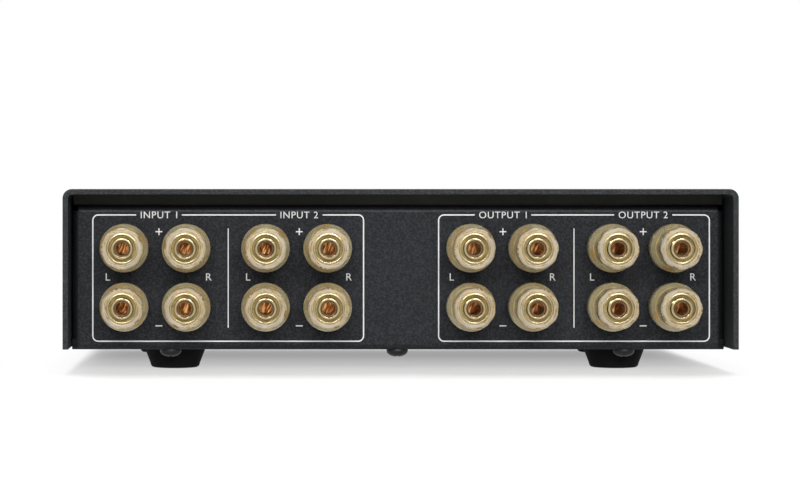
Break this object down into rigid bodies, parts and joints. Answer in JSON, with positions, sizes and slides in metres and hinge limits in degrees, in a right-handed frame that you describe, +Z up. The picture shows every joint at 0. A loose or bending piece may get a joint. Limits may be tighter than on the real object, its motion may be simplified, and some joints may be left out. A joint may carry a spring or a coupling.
{
  "type": "speaker selector switch",
  "caption": "Passive desktop selector box: folded steel case on rubber feet, clear gold binding posts in a recessed rear panel, and two rotary selectors on the front.",
  "frame": {"origin": "on the floor, under the middle of the bounding box", "axes": "+X runs across the case, to the right as seen from the front; +Y points from the front panel to the rear panel, out of the binding posts; +Z up"},
  "size_m": [0.216, 0.1692, 0.0591],
  "materials": {
    "cover_coat": "fine-textured black powder coat",
    "base_coat": "fine-textured black powder coat",
    "panel_coat": "fine-textured charcoal powder coat with white print",
    "front_coat": "black anodised, fine brushed",
    "board": "green lacquered board",
    "gold_brass": "gold-plated brass",
    "clear_plastic": "clear moulded plastic",
    "black_plastic": "black moulded plastic",
    "foot_rubber": "matt black rubber",
    "black_screw": "black oxide steel",
    "zinc_steel": "zinc-plated steel",
    "tinned_brass": "tinned brass",
    "switch_moulding": "dark grey moulding",
    "knob_black": "black anodised, turned face and fluted side",
    "red_wire": "red insulation",
    "blue_wire": "blue insulation"
  },
  "bodies": {
    "root": {"top_cover": "cover_coat", "base_tray": "base_coat", "rear_panel": "panel_coat", "front_panel": "front_coat", "rear_board": "board", "post_tubes": "gold_brass", "post_collars": "clear_plastic", "post_bushes": "black_plastic", "post_nuts": "gold_brass", "feet": "foot_rubber", "foot_screws": "black_screw", "rear_panel_screws": "black_screw", "cover_screws": "black_screw", "front_panel_screws": "zinc_steel", "amp_switch_front": "zinc_steel", "amp_switch_case": "switch_moulding", "speaker_switch_front": "zinc_steel", "speaker_switch_case": "switch_moulding", "switch_nuts": "zinc_steel", "switch_tags": "tinned_brass", "amp_wires": "red_wire", "speaker_wires": "blue_wire"},
    "amp_selector": {"amp_knob": "knob_black", "amp_knob_screw": "black_screw", "amp_shaft": "zinc_steel"},
    "speaker_selector": {"speaker_knob": "knob_black", "speaker_knob_screw": "black_screw", "speaker_shaft": "zinc_steel"},
    "amp1_left_plus_ring": {"clamp_ring_amp1_left_plus": "gold_brass"},
    "amp1_left_plus_cap": {"cap_amp1_left_plus": "clear_plastic"},
    "amp1_left_minus_ring": {"clamp_ring_amp1_left_minus": "gold_brass"},
    "amp1_left_minus_cap": {"cap_amp1_left_minus": "clear_plastic"},
    "amp1_right_plus_ring": {"clamp_ring_amp1_right_plus": "gold_brass"},
    "amp1_right_plus_cap": {"cap_amp1_right_plus": "clear_plastic"},
    "amp1_right_minus_ring": {"clamp_ring_amp1_right_minus": "gold_brass"},
    "amp1_right_minus_cap": {"cap_amp1_right_minus": "clear_plastic"},
    "amp2_left_plus_ring": {"clamp_ring_amp2_left_plus": "gold_brass"},
    "amp2_left_plus_cap": {"cap_amp2_left_plus": "clear_plastic"},
    "amp2_left_minus_ring": {"clamp_ring_amp2_left_minus": "gold_brass"},
    "amp2_left_minus_cap": {"cap_amp2_left_minus": "clear_plastic"},
    "amp2_right_plus_ring": {"clamp_ring_amp2_right_plus": "gold_brass"},
    "amp2_right_plus_cap": {"cap_amp2_right_plus": "clear_plastic"},
    "amp2_right_minus_ring": {"clamp_ring_amp2_right_minus": "gold_brass"},
    "amp2_right_minus_cap": {"cap_amp2_right_minus": "clear_plastic"},
    "speaker1_left_plus_ring": {"clamp_ring_speaker1_left_plus": "gold_brass"},
    "speaker1_left_plus_cap": {"cap_speaker1_left_plus": "clear_plastic"},
    "speaker1_left_minus_ring": {"clamp_ring_speaker1_left_minus": "gold_brass"},
    "speaker1_left_minus_cap": {"cap_speaker1_left_minus": "clear_plastic"},
    "speaker1_right_plus_ring": {"clamp_ring_speaker1_right_plus": "gold_brass"},
    "speaker1_right_plus_cap": {"cap_speaker1_right_plus": "clear_plastic"},
    "speaker1_right_minus_ring": {"clamp_ring_speaker1_right_minus": "gold_brass"},
    "speaker1_right_minus_cap": {"cap_speaker1_right_minus": "clear_plastic"},
    "speaker2_left_plus_ring": {"clamp_ring_speaker2_left_plus": "gold_brass"},
    "speaker2_left_plus_cap": {"cap_speaker2_left_plus": "clear_plastic"},
    "speaker2_left_minus_ring": {"clamp_ring_speaker2_left_minus": "gold_brass"},
    "speaker2_left_minus_cap": {"cap_speaker2_left_minus": "clear_plastic"},
    "speaker2_right_plus_ring": {"clamp_ring_speaker2_right_plus": "gold_brass"},
    "speaker2_right_plus_cap": {"cap_speaker2_right_plus": "clear_plastic"},
    "speaker2_right_minus_ring": {"clamp_ring_speaker2_right_minus": "gold_brass"},
    "speaker2_right_minus_cap": {"cap_speaker2_right_minus": "clear_plastic"}
  },
  "joints": [
    {"name": "amp_select", "type": "hinge", "parent": "root", "child": "amp_selector", "pos_m": [0.05, -0.06675, 0.0334], "axis": [0, 1, 0], "range_deg": [0, 60]},
    {"name": "speaker_select", "type": "hinge", "parent": "root", "child": "speaker_selector", "pos_m": [-0.05, -0.06675, 0.0334], "axis": [0, 1, 0], "range_deg": [0, 90]},
    {"name": "amp1_left_plus_slide", "type": "slide", "parent": "root", "child": "amp1_left_plus_ring", "axis": [0, 1, 0], "range_m": [0, 0.005]},
    {"name": "amp1_left_plus_turn", "type": "hinge", "parent": "amp1_left_plus_ring", "child": "amp1_left_plus_cap", "pos_m": [0.0887, 0.07625, 0.04005], "axis": [0, 1, 0], "range_deg": [0, 1800]},
    {"name": "amp1_left_minus_slide", "type": "slide", "parent": "root", "child": "amp1_left_minus_ring", "axis": [0, 1, 0], "range_m": [0, 0.005]},
    {"name": "amp1_left_minus_turn", "type": "hinge", "parent": "amp1_left_minus_ring", "child": "amp1_left_minus_cap", "pos_m": [0.0887, 0.07625, 0.02105], "axis": [0, 1, 0], "range_deg": [0, 1800]},
    {"name": "amp1_right_plus_slide", "type": "slide", "parent": "root", "child": "amp1_right_plus_ring", "axis": [0, 1, 0], "range_m": [0, 0.005]},
    {"name": "amp1_right_plus_turn", "type": "hinge", "parent": "amp1_right_plus_ring", "child": "amp1_right_plus_cap", "pos_m": [0.0687, 0.07625, 0.04005], "axis": [0, 1, 0], "range_deg": [0, 1800]},
    {"name": "amp1_right_minus_slide", "type": "slide", "parent": "root", "child": "amp1_right_minus_ring", "axis": [0, 1, 0], "range_m": [0, 0.005]},
    {"name": "amp1_right_minus_turn", "type": "hinge", "parent": "amp1_right_minus_ring", "child": "amp1_right_minus_cap", "pos_m": [0.0687, 0.07625, 0.02105], "axis": [0, 1, 0], "range_deg": [0, 1800]},
    {"name": "amp2_left_plus_slide", "type": "slide", "parent": "root", "child": "amp2_left_plus_ring", "axis": [0, 1, 0], "range_m": [0, 0.005]},
    {"name": "amp2_left_plus_turn", "type": "hinge", "parent": "amp2_left_plus_ring", "child": "amp2_left_plus_cap", "pos_m": [0.0431, 0.07625, 0.04005], "axis": [0, 1, 0], "range_deg": [0, 1800]},
    {"name": "amp2_left_minus_slide", "type": "slide", "parent": "root", "child": "amp2_left_minus_ring", "axis": [0, 1, 0], "range_m": [0, 0.005]},
    {"name": "amp2_left_minus_turn", "type": "hinge", "parent": "amp2_left_minus_ring", "child": "amp2_left_minus_cap", "pos_m": [0.0431, 0.07625, 0.02105], "axis": [0, 1, 0], "range_deg": [0, 1800]},
    {"name": "amp2_right_plus_slide", "type": "slide", "parent": "root", "child": "amp2_right_plus_ring", "axis": [0, 1, 0], "range_m": [0, 0.005]},
    {"name": "amp2_right_plus_turn", "type": "hinge", "parent": "amp2_right_plus_ring", "child": "amp2_right_plus_cap", "pos_m": [0.0231, 0.07625, 0.04005], "axis": [0, 1, 0], "range_deg": [0, 1800]},
    {"name": "amp2_right_minus_slide", "type": "slide", "parent": "root", "child": "amp2_right_minus_ring", "axis": [0, 1, 0], "range_m": [0, 0.005]},
    {"name": "amp2_right_minus_turn", "type": "hinge", "parent": "amp2_right_minus_ring", "child": "amp2_right_minus_cap", "pos_m": [0.0231, 0.07625, 0.02105], "axis": [0, 1, 0], "range_deg": [0, 1800]},
    {"name": "speaker1_left_plus_slide", "type": "slide", "parent": "root", "child": "speaker1_left_plus_ring", "axis": [0, 1, 0], "range_m": [0, 0.005]},
    {"name": "speaker1_left_plus_turn", "type": "hinge", "parent": "speaker1_left_plus_ring", "child": "speaker1_left_plus_cap", "pos_m": [-0.0231, 0.07625, 0.04005], "axis": [0, 1, 0], "range_deg": [0, 1800]},
    {"name": "speaker1_left_minus_slide", "type": "slide", "parent": "root", "child": "speaker1_left_minus_ring", "axis": [0, 1, 0], "range_m": [0, 0.005]},
    {"name": "speaker1_left_minus_turn", "type": "hinge", "parent": "speaker1_left_minus_ring", "child": "speaker1_left_minus_cap", "pos_m": [-0.0231, 0.07625, 0.02105], "axis": [0, 1, 0], "range_deg": [0, 1800]},
    {"name": "speaker1_right_plus_slide", "type": "slide", "parent": "root", "child": "speaker1_right_plus_ring", "axis": [0, 1, 0], "range_m": [0, 0.005]},
    {"name": "speaker1_right_plus_turn", "type": "hinge", "parent": "speaker1_right_plus_ring", "child": "speaker1_right_plus_cap", "pos_m": [-0.0431, 0.07625, 0.04005], "axis": [0, 1, 0], "range_deg": [0, 1800]},
    {"name": "speaker1_right_minus_slide", "type": "slide", "parent": "root", "child": "speaker1_right_minus_ring", "axis": [0, 1, 0], "range_m": [0, 0.005]},
    {"name": "speaker1_right_minus_turn", "type": "hinge", "parent": "speaker1_right_minus_ring", "child": "speaker1_right_minus_cap", "pos_m": [-0.0431, 0.07625, 0.02105], "axis": [0, 1, 0], "range_deg": [0, 1800]},
    {"name": "speaker2_left_plus_slide", "type": "slide", "parent": "root", "child": "speaker2_left_plus_ring", "axis": [0, 1, 0], "range_m": [0, 0.005]},
    {"name": "speaker2_left_plus_turn", "type": "hinge", "parent": "speaker2_left_plus_ring", "child": "speaker2_left_plus_cap", "pos_m": [-0.0687, 0.07625, 0.04005], "axis": [0, 1, 0], "range_deg": [0, 1800]},
    {"name": "speaker2_left_minus_slide", "type": "slide", "parent": "root", "child": "speaker2_left_minus_ring", "axis": [0, 1, 0], "range_m": [0, 0.005]},
    {"name": "speaker2_left_minus_turn", "type": "hinge", "parent": "speaker2_left_minus_ring", "child": "speaker2_left_minus_cap", "pos_m": [-0.0687, 0.07625, 0.02105], "axis": [0, 1, 0], "range_deg": [0, 1800]},
    {"name": "speaker2_right_plus_slide", "type": "slide", "parent": "root", "child": "speaker2_right_plus_ring", "axis": [0, 1, 0], "range_m": [0, 0.005]},
    {"name": "speaker2_right_plus_turn", "type": "hinge", "parent": "speaker2_right_plus_ring", "child": "speaker2_right_plus_cap", "pos_m": [-0.0887, 0.07625, 0.04005], "axis": [0, 1, 0], "range_deg": [0, 1800]},
    {"name": "speaker2_right_minus_slide", "type": "slide", "parent": "root", "child": "speaker2_right_minus_ring", "axis": [0, 1, 0], "range_m": [0, 0.005]},
    {"name": "speaker2_right_minus_turn", "type": "hinge", "parent": "speaker2_right_minus_ring", "child": "speaker2_right_minus_cap", "pos_m": [-0.0887, 0.07625, 0.02105], "axis": [0, 1, 0], "range_deg": [0, 1800]}
  ],
  "couplings": [
    {"joint": "amp1_left_plus_slide", "follows": "amp1_left_plus_turn", "m_per_rad": 0.00015915},
    {"joint": "amp1_left_minus_slide", "follows": "amp1_left_minus_turn", "m_per_rad": 0.00015915},
    {"joint": "amp1_right_plus_slide", "follows": "amp1_right_plus_turn", "m_per_rad": 0.00015915},
    {"joint": "amp1_right_minus_slide", "follows": "amp1_right_minus_turn", "m_per_rad": 0.00015915},
    {"joint": "amp2_left_plus_slide", "follows": "amp2_left_plus_turn", "m_per_rad": 0.00015915},
    {"joint": "amp2_left_minus_slide", "follows": "amp2_left_minus_turn", "m_per_rad": 0.00015915},
    {"joint": "amp2_right_plus_slide", "follows": "amp2_right_plus_turn", "m_per_rad": 0.00015915},
    {"joint": "amp2_right_minus_slide", "follows": "amp2_right_minus_turn", "m_per_rad": 0.00015915},
    {"joint": "speaker1_left_plus_slide", "follows": "speaker1_left_plus_turn", "m_per_rad": 0.00015915},
    {"joint": "speaker1_left_minus_slide", "follows": "speaker1_left_minus_turn", "m_per_rad": 0.00015915},
    {"joint": "speaker1_right_plus_slide", "follows": "speaker1_right_plus_turn", "m_per_rad": 0.00015915},
    {"joint": "speaker1_right_minus_slide", "follows": "speaker1_right_minus_turn", "m_per_rad": 0.00015915},
    {"joint": "speaker2_left_plus_slide", "follows": "speaker2_left_plus_turn", "m_per_rad": 0.00015915},
    {"joint": "speaker2_left_minus_slide", "follows": "speaker2_left_minus_turn", "m_per_rad": 0.00015915},
    {"joint": "speaker2_right_plus_slide", "follows": "speaker2_right_plus_turn", "m_per_rad": 0.00015915},
    {"joint": "speaker2_right_minus_slide", "follows": "speaker2_right_minus_turn", "m_per_rad": 0.00015915}
  ]
}
